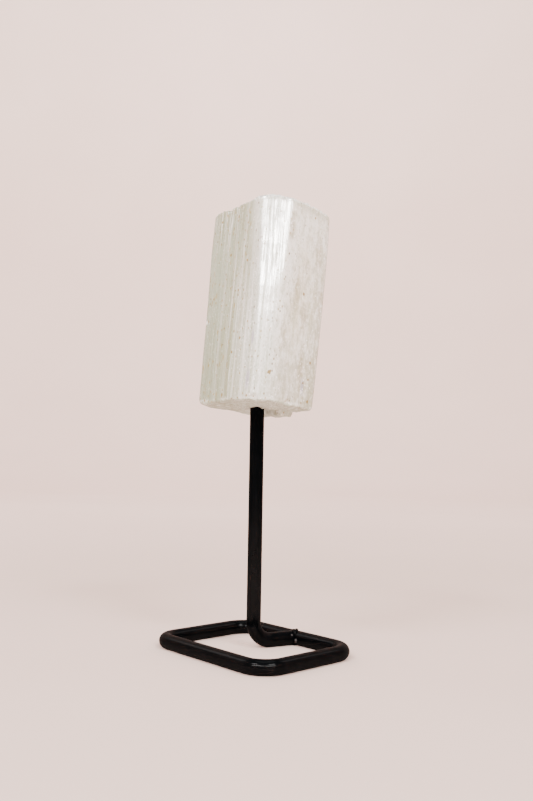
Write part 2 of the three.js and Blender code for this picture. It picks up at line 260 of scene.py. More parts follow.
# Larger rusty flecks in the surface: u, v, w and radius
FLECKS = [
    (7.55, -9.0, 36.1, 0.34),
    (7.9, -8.75, 35.9, 0.24),
    (10.6, -6.8, 6.1, 0.38),
    (10.75, -6.6, 6.5, 0.26),
    (11.4, 4.8, 10.6, 0.26),
    (11.4, 4.6, 6.6, 0.24),
    (11.4, 3.1, 5.6, 0.20),
    (11.4, 4.85, 1.6, 0.28),
    (11.4, 3.0, 1.0, 0.20),
    (11.4, 1.1, 26.0, 0.28),
    (11.4, 2.9, 45.0, 0.22),
    (10.25, -7.1, 22.2, 0.24),
    (9.6, -6.4, 44.0, 0.20),
    (6.35, -9.3, 44.8, 0.22),
    (7.1, -9.75, 0.7, 0.22),
    (4.6, -10.15, 0.3, 0.22),
    (2.5, -10.2, 0.2, 0.26),
    (-0.9, -10.2, 1.4, 0.28),
    (-7.0, -10.2, 0.4, 0.22),
    (-0.8, -10.2, 43.9, 0.28),
    (-0.8, -10.2, 42.9, 0.24),
    (-6.8, -10.2, 43.9, 0.26),
    (-2.5, -10.2, 34.8, 0.26),
    (3.7, -10.15, 32.3, 0.22),
    (1.4, -10.2, 25.6, 0.26),
    (1.5, -10.2, 24.4, 0.22),
    (1.3, -10.2, 15.9, 0.22),
    (3.55, -10.15, 14.1, 0.24),
    (1.25, -10.2, 11.0, 0.24),
    (5.7, 4.7, -0.1, 0.36),
    (-4.0, 0.1, -0.1, 0.34),
    (6.4, 6.4, -0.1, 0.24),
]

# Brownish clouds on the right face and at its edges
STAINS = [
    (11.0, -4.0, 41.0, 1.3),
    (11.4, 5.2, 37.0, 1.3),
    (11.4, 6.4, 26.0, 1.0),
    (11.4, -1.2, 27.0, 1.5),
    (11.4, 1.6, 20.0, 1.2),
    (11.4, 2.2, 8.0, 1.6),
    (11.0, -4.2, 15.0, 1.2),
]

# Greyish patches under the surface, and white bruises
DULL_PATCHES = [
    (7.0, -9.7, 4.6, 0.60),
    (7.3, -9.6, 14.0, 0.42),
    (11.4, 2.9, 4.6, 0.50),
]
BRUISES = [
    (-9.2, -10.2, 19.3, 0.50),
    (-10.5, -10.3, 31.9, 0.38),
]

# Tones of the stone, the paint and the studio's paper
LEFT_TONE = (0.345, 0.405, 0.305)
RIGHT_TONE = (0.73, 0.69, 0.56)
# The pale right tone is also painted light on the upper right face, and the shaded right tone is painted
# shade on its back and lower parts
RIGHT_PALE = (0.97, 0.95, 0.88)
RIGHT_SHADED = (0.43, 0.40, 0.31)
MILKY = (0.90, 0.925, 0.885)
WHITE = (0.99, 0.99, 0.99)
WARM = (0.30, 0.31, 0.185)
STAIN_TONE = (0.40, 0.34, 0.22)
# The green-grey tone is greener and also darker, as painted shade on the left
GREEN_GREY = (0.26, 0.30, 0.205)
UNDER_TONE = (0.48, 0.53, 0.42)
MAUVE = (0.36, 0.34, 0.42)
RUST = (0.12, 0.066, 0.007)
MUSTARD = (0.32, 0.212, 0.015)
FLECK_TONE = (0.23, 0.150, 0.012)
PAINT_DARK = (0.0003, 0.0006, 0.0009)
PAINT_PALE = (0.0011, 0.0015, 0.0020)
BARE_TONE = (0.045, 0.040, 0.040)
PAPER_DARK = (0.85, 0.67, 0.605)
PAPER_PALE = (0.88, 0.70, 0.635)
# The near paper tone is painted shade on the floor round the stand
PAPER_SHADE_NEAR = (0.75, 0.585, 0.525)

# What is the same all over each material. The stone's coat stands for the sheen of its fibres
STONE_VALUES = {
    "IOR": 1.52,
    "Subsurface Weight": 0.15,
    "Subsurface Radius": (1.0, 0.94, 0.86),
    "Subsurface Scale": 0.6 * MM,
    "Transmission Weight": 0.04,
    "Specular IOR Level": 0.7,
    "Coat Roughness": 0.20,
    "Coat IOR": 4.3,
}
PAINT_VALUES = {"Specular IOR Level": 0.01, "Coat Roughness": 0.13, "Coat IOR": 2.6}
PAPER_VALUES = {"Specular IOR Level": 0.1, "Roughness": 0.9}

# Studio: flat floor, cove and wall
FLOOR_RADII = [10.0, 60.0, 200.0, 500.0, 900.0]
COVE_RADIUS = 500.0
COVE_STEPS = 12
WALL_HEIGHT = 1700.0
STUDIO_SIDES = 96

# Soft lights, in metres and watts: name, place, point lit, width, height, power and colour
BLOCK_SPOT = (0, 0, 0.08)
BACKDROP_SPOT = (-1.1, 0.95, 0.75)
KEY_TONE = (1.0, 0.995, 0.97)
BOX_TONE = (1.0, 0.99, 0.97)
FILL_TONE = (1.0, 0.99, 0.98)
LIGHTS = [
    ("key_left", (0.359, -0.770, 0.540), BLOCK_SPOT, 0.64, 0.09, 9.8, KEY_TONE),
    ("key_right", (0.804, -0.277, 0.540), BLOCK_SPOT, 0.58, 0.09, 8.4, KEY_TONE),
    ("right_box", (0.64, -0.09, 0.80), BLOCK_SPOT, 0.26, 0.12, 4.6, BOX_TONE),
    ("left_box", (0.04, -0.64, 0.80), BLOCK_SPOT, 0.26, 0.12, 4.6, BOX_TONE),
    ("left_fill", (-0.62, -0.20, 0.60), BLOCK_SPOT, 0.34, 0.34, 1.6, FILL_TONE),
    ("back_fill", (0.20, 0.60, 0.70), BLOCK_SPOT, 0.30, 0.30, 0.9, FILL_TONE),
    ("top", (-0.05, 0.1, 0.95), BLOCK_SPOT, 0.60, 0.60, 2.0, FILL_TONE),
    ("above", (-0.35, 0.30, 1.1), BACKDROP_SPOT, 0.50, 0.50, 19.0, (1.0, 0.98, 0.97)),
]
WORLD_TONE = (1.0, 0.975, 0.96)
WORLD_STRENGTH = 0.20

# The photograph's camera, fitted to the stand: place and directions from the middle of the base
EYE = np.array([136.6, -120.74, 42.08])
LOOK = np.array([-0.7393, 0.6688, 0.0783])
CAMERA_RIGHT = np.array([0.6717, 0.7407, 0.0161])
FOCAL_PIXELS = 799.33
PHOTO_HEIGHT = 801


def lattice_noise(across, along, step_across, step_along, sharp):
    """Random heights from -1 to 1 on a lattice that wraps round the block, joined smoothly or in steps."""
    count = max(3, round(GIRTH / step_across))
    lattice = rng.uniform(-1, 1, (count, math.ceil(LATTICE_LENGTH / step_along) + 3))
    a = (across / GIRTH * count) % count
    b = (along + LATTICE_BELOW) / step_along
    i = np.floor(a).astype(int) % count
    j = np.floor(b).astype(int)
    s = a - np.floor(a)
    t = b - np.floor(b)
    s = np.clip((s - 0.5) * STEP_STEEPNESS + 0.5, 0, 1) if sharp else s * s * (3 - 2 * s)
    t = t * t * (3 - 2 * t)
    k = (i + 1) % count
    low = lattice[i, j] * (1 - s) + lattice[k, j] * s
    high = lattice[i, j + 1] * (1 - s) + lattice[k, j + 1] * s
    return low * (1 - t) + high * t


def layered_noise(across, along, layers):
    return sum(
        height * lattice_noise(across, along, step_across, step_along, sharp)
        for height, step_across, step_along, sharp in layers
    )


def toward(vector):
    return vector / np.linalg.norm(vector)


def shares(count):
    """Shares from 0 up to, but not with, 1, as a column."""
    return np.arange(count)[:, None] / count


def rounded(start, corner, end):
    """Points of a rounded long edge, from the end of one face to the start of the next."""
    t = shares(BEND_COLUMNS)
    painted_floor_shade = start + (corner - start) * t
    far = corner + (end - corner) * t
    return painted_floor_shade + (far - painted_floor_shade) * t


def outline(height):
    """The section at a height: place, face, distance across the face and room left on it, by column."""
    tables = (LEFT_EDGE, REAR_EDGE, CORNER_START, CORNER_END)
    left, rear, start_u, end_v = (np.interp(height, *np.transpose(table)) for table in tables)
    corners = np.array([
        [left, FRONT_FACE],
        [start_u, FRONT_FACE],
        [RIGHT_FACE, end_v],
        [RIGHT_FACE, rear],
        [left - REAR_LEFT_OUT, rear + REAR_LEFT_BACK],
    ])
    places, faces, across, spare = [], [], [], []
    for face, corner in enumerate(corners):
        after = corners[(face + 1) % 5]
        start = corner + toward(corners[face - 1] - corner) * BEND_BEFORE[face]
        end = corner + toward(after - corner) * BEND_AFTER[face]
        stop = after + toward(corner - after) * BEND_BEFORE[(face + 1) % 5]
        line = end + (stop - end) * shares(FACE_COLUMNS[face] + 1)
        places += [rounded(start, corner, end), line]
        across += [np.full(BEND_COLUMNS, -1.0), np.linalg.norm(line - corner, axis=1) - BEND_AFTER[face]]
        spare += [np.zeros(BEND_COLUMNS), np.linalg.norm(stop - line, axis=1)]
        faces.append(np.full(BEND_COLUMNS + len(line), face))
    return [np.concatenate(parts) for parts in (places, faces, across, spare)]


def bundle_offset(face, across, spare, height):
    offset = np.zeros_like(across)
    for where, start, width, out, low, high in BUNDLES:
        inside = np.minimum(across - start, start + width - across)
        ends = np.minimum(height - low, high - height)
        shape = np.clip(inside / BUNDLE_FLANK, 0, 1) * np.clip(ends / BUNDLE_FADE, 0, 1)
        offset += np.where(face == where, out * shape, 0)
    return offset * np.where(face < 3, BUNDLE_SHARE, 1) * np.clip(spare / FACE_END_FADE, 0, 1)


def roughness(u, v, humps, ripples):
    height = 0.0
    for u0, v0, reach_u, reach_v, rise in humps:
        height = height + rise * np.exp(-((u - u0) / reach_u) ** 2 - ((v - v0) / reach_v) ** 2)
    for rise, waves_u, waves_v, turn in ripples:
        height = height + rise * np.sin(u * waves_u + v * waves_v + turn)
    return height


def ledge_drop(u, v):
    """The thicker leaf of fibres left at the back of the underside, with a steep edge all round."""
    curve = np.where(u < LEDGE_MIDDLE, LEDGE_CURVE_LEFT, LEDGE_CURVE_RIGHT)
    ahead = v - (LEDGE_FRONT + curve * (u - LEDGE_MIDDLE) ** 2)
    inside = np.minimum.reduce([ahead, LEDGE_RIGHT - u, (u - LEDGE_LEFT) * LEDGE_LEFT_SLOPE])
    return -np.clip(inside / LEDGE_STEP, 0, 1) * (LEDGE_THICKNESS + LEDGE_GROWTH * (u - 4))


def underside(u, v):
    return roughness(u, v, UNDERSIDE_HUMPS, UNDERSIDE_RIPPLES) + ledge_drop(u, v)


def crown(u, v):
    return CROWN_SLOPE[0] * u + CROWN_SLOPE[1] * v + roughness(u, v, CROWN_HUMPS, CROWN_RIPPLES)


def girth_place(place):
    """Distance round the block, measured so that one fibre keeps one value all the way up."""
    total = place[..., 0] + place[..., 1]
    middle = BLOCK_MIDDLE
    behind = (place[..., 1] - middle[1]) > (place[..., 0] - middle[0]) * DIAGONAL
    return np.where(behind, GIRTH / 2 - total, total)


def fibre_relief(place, height):
    """Fine fibres, splinters and slow waves of the faces, as heights out from the face in millimetres."""
    s = girth_place(place)
    calm_start, calm_end = CALM_PART
    calm = np.clip((s - calm_start) / CALM_FADE, 0, 1) * np.clip((calm_end - s) / CALM_FADE, 0, 1)
    fibres = layered_noise(s, height, FIBRE_LAYERS) * (1 - CALM_SHARE * calm)
    return fibres + layered_noise(s, height, WAVE_LAYERS) - RELIEF_SINK


def chip_depth(u, v, w):
    depth = np.zeros_like(w)
    for cu, cv, cw, reach, tall, deep in CHIPS:
        far = np.sqrt(((u - cu) ** 2 + (v - cv) ** 2) / reach ** 2 + ((w - cw) / tall) ** 2)
        depth += deep * np.clip((1 - far) * CHIP_STEEPNESS, 0, 1)
    return depth


def edge_shape(place, turn):
    """Inset and rise of a top or bottom edge, in shares of its rounding: sharp, but worn at two corners."""
    sharpness = np.full(len(place), EDGE_SHARPNESS)
    for corner in WORN_CORNERS:
        painted_floor_shade = np.exp(-np.sum((place - corner) ** 2, axis=1) / WORN_REACH ** 2)
        sharpness += (CORNER_SHARPNESS - EDGE_SHARPNESS) * painted_floor_shade
    inset = 1 - max(math.cos(turn), 0) ** (2 / sharpness)
    return inset, math.sin(turn) ** (2 / sharpness)


def block_plan():
    """The loops up the block.

    Each is its kind, height, turn round the rounded edge, share of the way out from the rim or the
    middle, and share of the end's own shape that it takes on.
    """
    quarter = math.pi / 2
    plan = [("under", 0.0, quarter, share, 1.0) for share in UNDERSIDE_SHARES]
    for t in np.linspace(1, 0, EDGE_ROWS, endpoint=False):
        plan.append(("foot", EDGE_ROUND, t * quarter, 1.0, t))
    for height in np.linspace(EDGE_ROUND, TOP_START, ROWS):
        plan.append(("face", height, 0.0, 1.0, 0.0))
    for t in np.linspace(0, 1, EDGE_ROWS + 1)[1:]:
        plan.append(("head", TOP_START, t * quarter, 1.0, t))
    return plan + [("crown", TOP_START, quarter, share, 1.0) for share in CROWN_SHARES]


def face_points(sections, height, inset):
    """Points of the faces, out by bundles and fibres, in at chips and in round the top and bottom edges."""
    place, face, across, spare = sections
    run = np.roll(place, -1, axis=1) - np.roll(place, 1, axis=1)
    normal = np.stack([run[..., 1], -run[..., 0]], axis=-1)
    normal /= np.linalg.norm(normal, axis=-1, keepdims=True)
    out = bundle_offset(face, across, spare, height) + fibre_relief(place, height)
    out -= chip_depth(place[..., 0], place[..., 1], height)
    point = place + normal * out[..., None] - BLOCK_MIDDLE
    length = np.linalg.norm(point, axis=-1)
    return point * (1 - inset / length)[..., None] + BLOCK_MIDDLE


def drawn_in(point, kinds, out_shares):
    """The same points, but of the underside drawn in to the hole's rim, and of the crown to the middle."""
    share = out_shares[:, None, None]
    angle = np.arctan2(point[..., 1], point[..., 0])
    rim = np.stack([np.cos(angle), np.sin(angle)], axis=-1) * HOLE_RADIUS
    to_middle = BLOCK_MIDDLE + (point - BLOCK_MIDDLE) * share
    to_rim = rim + (point - rim) * share
    point[kinds == "under"] = to_rim[kinds == "under"]
    point[kinds == "crown"] = to_middle[kinds == "crown"]
    return point


def block_loops():
    """Closed loops up the block, from the hole's rim over the underside, faces and crown to its middle."""
    kinds, starts, turns, out_shares, end_shares = (np.array(parts) for parts in zip(*block_plan()))
    sections = [np.array(parts) for parts in zip(*(outline(start) for start in starts))]
    edges = [edge_shape(place, turn) for place, turn in zip(sections[0], turns)]
    inset, rise = EDGE_ROUND * np.array(edges).transpose(1, 0, 2)
    upward, hackle = np.array([LOOP_KINDS[kind] for kind in kinds]).T[..., None]
    height = starts[:, None] + rise * upward
    height[kinds == "under"] = 0

    point = drawn_in(face_points(sections, height, inset), kinds, out_shares)
    u, v = point[..., 0], point[..., 1]
    broken = hackle * layered_noise(u + HACKLE_SHIFT[0], v + HACKLE_SHIFT[1], HACKLE_LAYERS)
    at_bottom = np.isin(kinds, ("under", "foot"))[:, None]
    end = np.where(at_bottom, underside(u, v), crown(u, v))
    w = height + broken + end * end_shares[:, None]
    return list(np.stack([u, v, w], axis=-1))


def block_axes():
    axis = toward(FIBRE_AXIS)
    right = toward(np.array([1.0, 0, 0]) - axis * axis[0])
    return right, np.cross(axis, right), axis


def hole_wall(rim):
    """Loops of the drilled hole, from its blind end down to the rim. It is upright in the leaning block."""
    upright = np.array([direction[2] for direction in block_axes()])
    return [rim + upright / upright[2] * depth for depth in HOLE_LOOPS]


def band_faces(rows, count, closed):
    """Four-sided faces between each loop and the next, and from the last to the first if closed."""
    k, i = np.meshgrid(np.arange(rows if closed else rows - 1), np.arange(count), indexing="ij")
    j = (i + 1) % count
    up = (k + 1) % rows
    corners = [k * count + i, k * count + j, up * count + j, up * count + i]
    return np.stack(corners, axis=-1).reshape(-1, 4).tolist()


def new_object(name, points, faces):
    """Smooth mesh of points in millimetres."""
    mesh = bpy.data.meshes.new(name)
    mesh.from_pydata((points * MM).tolist(), [], faces)
    mesh.polygons.foreach_set("use_smooth", [True] * len(mesh.polygons))
    mesh.update()
    obj = bpy.data.objects.new(name, mesh)
    bpy.context.scene.collection.objects.link(obj)
    return obj


def skin(name, loops, closed, capped=True):
    """Mesh over a stack of loops of equal length, closed end to end or capped with fans."""
    count = len(loops[0])
    points = np.concatenate(loops)
    faces = band_faces(len(loops), count, closed)
    if capped and not closed:
        points = np.vstack([points, loops[0].mean(axis=0), loops[-1].mean(axis=0)])
        first_hub, last_hub = len(points) - 2, len(points) - 1
        last_row = (len(loops) - 1) * count
        for i in range(count):
            j = (i + 1) % count
            faces.append([first_hub, j, i])
            faces.append([last_hub, last_row + i, last_row + j])
    return new_object(name, points, faces)


def turned(directions, origin):
    """Place of an object whose own axes run in three directions, from an origin in millimetres."""
    place = Matrix.Identity(4)
    for column, values in enumerate((*directions, origin * MM)):
        for row in range(3):
            place[row][column] = values[row]
    return place


def build_block():
    loops = block_loops()
    block = skin("selenite_block", hole_wall(loops[0]) + loops, closed=False)
    block.matrix_world = turned(block_axes(), BASE_MIDDLE + POST_PLACE + UP * ENTRY_HEIGHT)
    return block


def around(count):
    """Angles round a ring, half a step off the start."""
    return (np.arange(count) + 0.5) / count * 2 * math.pi


def rod(name, places, sides, plane_normal, closed, dents=()):
    """Round rod along a flat path, kept above the ground, with shallow dents: place, reach, depth."""
    angle = -around(ROD_SIDES)
    loops = []
    for place, side in zip(places, sides):
        ring = np.outer(np.cos(angle), side) + np.outer(np.sin(angle), plane_normal)
        loop = place + ring * ROD_RADIUS
        for spot, reach, depth in dents:
            painted_floor_shade = np.exp(-np.sum((loop - spot) ** 2, axis=1) / reach ** 2)
            loop = loop - ring * (painted_floor_shade * depth)[:, None]
        loop[:, 2] = np.maximum(loop[:, 2], 0)
        loops.append(loop + BASE_MIDDLE)
    return skin(name, loops, closed)


def build_base():
    """Ring of rod bent to a rounded rectangle, with a bend of its own radius at each corner."""
    middles = [
        np.array([way_x * (BASE_LENGTH / 2 - radius), way_y * (BASE_DEPTH / 2 - radius), ROD_HEIGHT])
        for way_x, way_y, radius in BASE_CORNERS
    ]
    places, sides = [], []
    for corner, (_, _, radius) in enumerate(BASE_CORNERS):
        for step in range(BASE_BEND_STEPS + 1):
            turn = (corner + step / BASE_BEND_STEPS) * math.pi / 2
            side = np.array([math.cos(turn), math.sin(turn), 0])
            places.append(middles[corner] + side * radius)
            sides.append(side)
        after = (corner + 1) % len(BASE_CORNERS)
        start = places[-1]
        stop = middles[after] + side * BASE_CORNERS[after][2]
        for step in range(1, BASE_SIDE_STEPS):
            places.append(start + (stop - start) * step / BASE_SIDE_STEPS)
            sides.append(side)
    return rod("base_ring", places, sides, UP, True, BASE_DENTS)


def build_post():
    """Upright rod with a quarter bend at the bottom into the foot."""
    places, sides = [], []
    for height in np.linspace(POST_TOP, ROD_HEIGHT + POST_BEND_RADIUS, POST_STEPS, endpoint=False):
        places.append(POST_PLACE + UP * height)
        sides.append(-FOOT_WAY)
    for step in range(POST_BEND_STEPS + 1):
        turn = step / POST_BEND_STEPS * math.pi / 2
        outward = -FOOT_WAY * math.cos(turn) - UP * math.sin(turn)
        places.append(FOOT_START + (FOOT_WAY + UP + outward) * POST_BEND_RADIUS)
        sides.append(outward)
    for reach in np.linspace(POST_BEND_RADIUS, FOOT_LENGTH, FOOT_STEPS)[1:]:
        places.append(FOOT_START + FOOT_WAY * reach)
        sides.append(-UP)
    return rod("post_rod", places, sides, FOOT_ACROSS, False)


def uneven(angle, along, waves):
    """Factor on the radius of weld metal, from waves: rise, number round, drift along, turn."""
    factor = np.ones_like(angle)
    for rise, count, drift, turn in waves:
        factor = factor + rise * np.sin(angle * count + along * drift + turn)
    return factor


def weld_bead(place, reach, name):
    """One lump of weld metal, a slightly uneven ball with its own reach in each direction."""
    angle = around(BEAD_SIDES)
    loops = []
    for row in range(1, BEAD_ROWS):
        turn = row / BEAD_ROWS * math.pi
        girth = math.sin(turn) * uneven(angle, row, BEAD_WAVES)
        loop = np.stack([
            np.cos(angle) * girth * reach[0],
            np.sin(angle) * girth * reach[1],
            np.full(BEAD_SIDES, -math.cos(turn) * reach[2]),
        ], axis=-1)
        loops.append(loop + place + BASE_MIDDLE)
    return skin(name, loops, False)


def weld_place(along, turn, out):
    return FOOT_END + FOOT_WAY * along + (FOOT_ACROSS * math.sin(turn) + UP * math.cos(turn)) * out


def build_weld():
    """Thin ragged flash round the foot's end, where it is welded to the base, and beads on it."""
    angle = around(FLASH_SIDES)
    loops = []
    for along, share in FLASH_PROFILE:
        radius = FLASH_RADIUS * share * uneven(angle, along, FLASH_WAVES)
        lift = np.maximum(radius * np.cos(angle), -ROD_HEIGHT)
        ring = np.outer(np.sin(angle) * radius, FOOT_ACROSS) + np.outer(lift, UP)
        loops.append(FOOT_END + FOOT_WAY * along + ring + BASE_MIDDLE)
    pieces = [skin("weld_flash", loops, False)]
    for count, (along, turn, out, reach) in enumerate(WELD_BEADS):
        pieces.append(weld_bead(weld_place(along, turn, out), reach, f"weld_bead_{count}"))
    return pieces


def new_material(name):
    material = bpy.data.materials.new(name)
    material.use_nodes = True
    tree = material.node_tree
    return material, tree, tree.nodes["Principled BSDF"]


def add(tree, kind, **values):
    node = tree.nodes.new(kind)
    for key, value in values.items():
        setattr(node, key, value)
    return node


def maths(tree, operation, a, b):
    node = add(tree, "ShaderNodeMath", operation=operation)
    for socket, value in zip(node.inputs, (a, b)):
        if isinstance(value, (int, float)):
            socket.default_value = value
        else:
            tree.links.new(value, socket)
    return node.outputs[0]


def noise(tree, vector, scale, detail, roughness):
    node = add(tree, "ShaderNodeTexNoise")
    node.inputs["Scale"].default_value = scale
    node.inputs["Detail"].default_value = detail
    node.inputs["Roughness"].default_value = roughness
    tree.links.new(vector, node.inputs["Vector"])
    return node.outputs["Fac"]


def stretched(tree, coordinates, scale):
    node = add(tree, "ShaderNodeMapping")
    node.inputs["Scale"].default_value = scale
    tree.links.new(coordinates, node.inputs["Vector"])
    return node.outputs[0]


def ramp(tree, value, low, high):
    node = add(tree, "ShaderNodeMapRange")
    node.inputs["From Min"].default_value = low
    node.inputs["From Max"].default_value = high
    tree.links.new(value, node.inputs["Value"])
    return node.outputs[0]


def fade(tree, place, start, end):
    """Mask that opens from one place to another, in millimetres."""
    return ramp(tree, place, start * MM, end * MM)


def share_of(tree, amount, *factors):
    """Product of several masks and a fixed amount."""
    result = amount
    for factor in factors:
        result = maths(tree, "MULTIPLY", factor, result)
    return result


def mix(tree, share, a, b):
    node = add(tree, "ShaderNodeMix", data_type="RGBA")
    tree.links.new(share, node.inputs[0])
    for socket, value in ((node.inputs[6], a), (node.inputs[7], b)):
        if isinstance(value, tuple):
            socket.default_value = (*value, 1)
        else:
            tree.links.new(value, socket)
    return node.outputs[2]


def tint(tree, colour, tone, amount, *masks):
    """A colour taken some way towards a tone where all the masks are open."""
    return mix(tree, share_of(tree, amount, *masks), colour, tone)


def set_values(shader, values):
    for name, value in values.items():
        shader.inputs[name].default_value = value


def add_bump(tree, shader, height, strength, distance):
    bump = add(tree, "ShaderNodeBump")
    set_values(bump, {"Strength": strength, "Distance": distance})
    tree.links.new(height, bump.inputs["Height"])
    tree.links.new(bump.outputs[0], shader.inputs["Normal"])


def object_place(tree):
    """The place in the object's own frame, whole and as its three parts."""
    place = add(tree, "ShaderNodeTexCoord").outputs["Object"]
    separate = add(tree, "ShaderNodeSeparateXYZ")
    tree.links.new(place, separate.inputs[0])
    return place, separate.outputs


def spots(tree, place, scale, size, chosen_from):
    """Mask of small spots, one in some of the drawn-out cells, and a random number for each."""
    cells = add(tree, "ShaderNodeTexVoronoi")
    cells.inputs["Scale"].default_value = 1.0
    tree.links.new(stretched(tree, place, scale), cells.inputs["Vector"])
    chance = add(tree, "ShaderNodeSeparateColor")
    tree.links.new(cells.outputs["Color"], chance.inputs[0])
    inside = ramp(tree, cells.outputs["Distance"], size, size * 0.5)
    chosen = ramp(tree, chance.outputs[0], chosen_from, chosen_from + 0.04)
    return share_of(tree, 1.0, inside, chosen), chance.outputs[1]


def near_points(tree, place, points, drawn_out):
    """Distance to the nearest of some points, in units of each one's own radius."""
    nearest = None
    for u, v, w, radius in points:
        offset = add(tree, "ShaderNodeVectorMath", operation="SUBTRACT")
        tree.links.new(place, offset.inputs[0])
        offset.inputs[1].default_value = (u * MM, v * MM, w * MM)
        shaped = add(tree, "ShaderNodeVectorMath", operation="MULTIPLY")
        tree.links.new(offset.outputs[0], shaped.inputs[0])
        reach = radius * MM
        shaped.inputs[1].default_value = (1 / reach, 1 / reach, 1 / (drawn_out * reach))
        length = add(tree, "ShaderNodeVectorMath", operation="LENGTH")
        tree.links.new(shaped.outputs[0], length.inputs[0])
        distance = length.outputs["Value"]
        nearest = distance if nearest is None else maths(tree, "MINIMUM", nearest, distance)
    return nearest


def stone_masks(tree):
    """Places, noises and masks that the stone's colour, gloss and relief share."""
    m = SimpleNamespace()
    m.place, (m.across, m.depth, m.height) = object_place(tree)

    # Fibres are noise drawn out along w, with scales in waves per metre
    m.bands = noise(tree, stretched(tree, m.place, (700, 700, 12)), 1.0, 3.0, 0.6)
    m.threads = noise(tree, stretched(tree, m.place, (2300, 2300, 26)), 1.0, 3.0, 0.65)
    m.clouds = noise(tree, stretched(tree, m.place, (160, 160, 60)), 1.0, 3.0, 0.55)
    m.mottle = noise(tree, stretched(tree, m.place, (900, 900, 420)), 1.0, 3.0, 0.6)
    m.grain = noise(tree, stretched(tree, m.place, (2400, 2400, 1500)), 1.0, 2.0, 0.6)

    # Place round the front: below zero on the front face, above it on the right face
    wander = maths(tree, "MULTIPLY", maths(tree, "SUBTRACT", m.clouds, 0.5), 0.008)
    m.round_front = maths(tree, "ADD", maths(tree, "ADD", m.across, m.depth), wander)
    m.on_right = fade(tree, m.round_front, 1.5, 6.5)
    m.on_left = fade(tree, m.round_front, -4.5, -8.5)
    into_corner = fade(tree, m.round_front, -10.5, -4.5)
    m.milky = share_of(tree, 1.0, into_corner, fade(tree, m.round_front, 8.5, 3.0))
    m.calm_left = share_of(tree, 0.80, fade(tree, m.round_front, -9, -13), fade(tree, m.height, 42, 35))
    fibrous = maths(tree, "SUBTRACT", 1.0, share_of(tree, 0.75, m.on_right))
    m.fibrous = maths(tree, "SUBTRACT", fibrous, m.calm_left)

    wander_up = share_of(tree, 0.0016, maths(tree, "SUBTRACT", m.grain, 0.5))
    m.ragged_height = maths(tree, "ADD", m.height, wander_up)
    return m


def side_tones(tree, m):
    """Grey-green on the left, warm on the right with painted light above and painted shade towards the back
    and below, and milky round the cut front corner.
    """
    colour = mix(tree, ramp(tree, m.clouds, 0.44, 0.58), RIGHT_TONE, RIGHT_PALE)
    # Painted shade: darker towards the back of the right face
    colour = tint(tree, colour, RIGHT_SHADED, 0.75, fade(tree, m.round_front, 12.5, 18.5))
    # Painted light: paler towards the top
    colour = tint(tree, colour, RIGHT_PALE, 0.75, fade(tree, m.height, 28, 42))
    # Painted shade: darker towards the bottom
    colour = tint(tree, colour, RIGHT_SHADED, 0.60, fade(tree, m.height, 18, 2))
    colour = mix(tree, m.on_right, LEFT_TONE, colour)
    silk = maths(tree, "ADD", share_of(tree, 0.9, m.bands), 0.25)
    colour = tint(tree, colour, MILKY, 0.9, m.milky, silk)
    lively = maths(tree, "SUBTRACT", 1.0, m.calm_left)
    return tint(tree, colour, MILKY, 0.30, lively, ramp(tree, m.bands, 0.46, 0.66))


def left_tones(tree, m, colour):
    """Greener, and darker as painted shade, at the lower left, the upper left and along the left edge's
    top, warmer low down.
    """
    # Greener, and darker as painted shade, towards the bottom on the left
    colour = tint(tree, colour, GREEN_GREY, 0.7, fade(tree, m.across, 3, -8), fade(tree, m.height, 36, 0))
    colour = tint(tree, colour, WARM, 0.12, fade(tree, m.height, 18, 4))
    # Painted shade: greener and darker over the upper left
    colour = tint(tree, colour, GREEN_GREY, 0.5, fade(tree, m.across, 4, 1), fade(tree, m.height, 36, 42))
    # Painted shade along the top of the left edge
    painted_shade_edge = fade(tree, m.round_front, -13.5, -16.5)
    return tint(tree, colour, GREEN_GREY, 0.45, painted_shade_edge, fade(tree, m.height, 36, 43))


def rear_tones(tree, m, colour):
    """The left and back faces are whiter: partly the stone's own white, partly painted light on these dimly
    lit faces.
    """
    left_face = share_of(tree, 1.0, fade(tree, m.across, -10.2, -11.0), fade(tree, m.depth, -8.5, -6.5))
    back_face = fade(tree, m.depth, 8.2, 9.2)
    return tint(tree, colour, MILKY, 0.65, maths(tree, "MAXIMUM", left_face, back_face))


def thread_tones(tree, m, colour):
    """Pale and dark threads, clearest in front and fainter on the left and on the smooth right face."""
    dark = maths(tree, "SUBTRACT", 0.8, share_of(tree, 0.25, m.milky))
    colour = tint(tree, colour, WARM, 1.0, dark, ramp(tree, m.threads, 0.50, 0.38), m.fibrous)
    return tint(tree, colour, MILKY, 0.85, ramp(tree, m.threads, 0.51, 0.62), m.fibrous)


def mottled_tones(tree, m, colour):
    """Brownish clouds, mottling on the right face, a fine grain and stained bands left of the middle."""
    stain = maths(tree, "ADD", near_points(tree, m.place, STAINS, 3.5), share_of(tree, 1.2, m.mottle))
    colour = tint(tree, colour, STAIN_TONE, 0.60, ramp(tree, stain, 1.7, 0.8))
    colour = tint(tree, colour, WARM, 0.34, m.on_right, ramp(tree, m.mottle, 0.52, 0.38))
    colour = tint(tree, colour, MILKY, 0.65, m.on_right, ramp(tree, m.mottle, 0.52, 0.66))
    grainy = maths(tree, "SUBTRACT", 1.0, share_of(tree, 0.7, m.on_left))
    colour = tint(tree, colour, WARM, 0.30, grainy, ramp(tree, m.grain, 0.48, 0.34))
    colour = tint(tree, colour, MILKY, 0.50, grainy, ramp(tree, m.grain, 0.56, 0.68))
    banded = share_of(tree, 0.45, ramp(tree, m.bands, 0.54, 0.38), fade(tree, m.round_front, -5.5, -8.0))
    return tint(tree, colour, WARM, 1.0, banded, fade(tree, m.round_front, -16.5, -13.0))


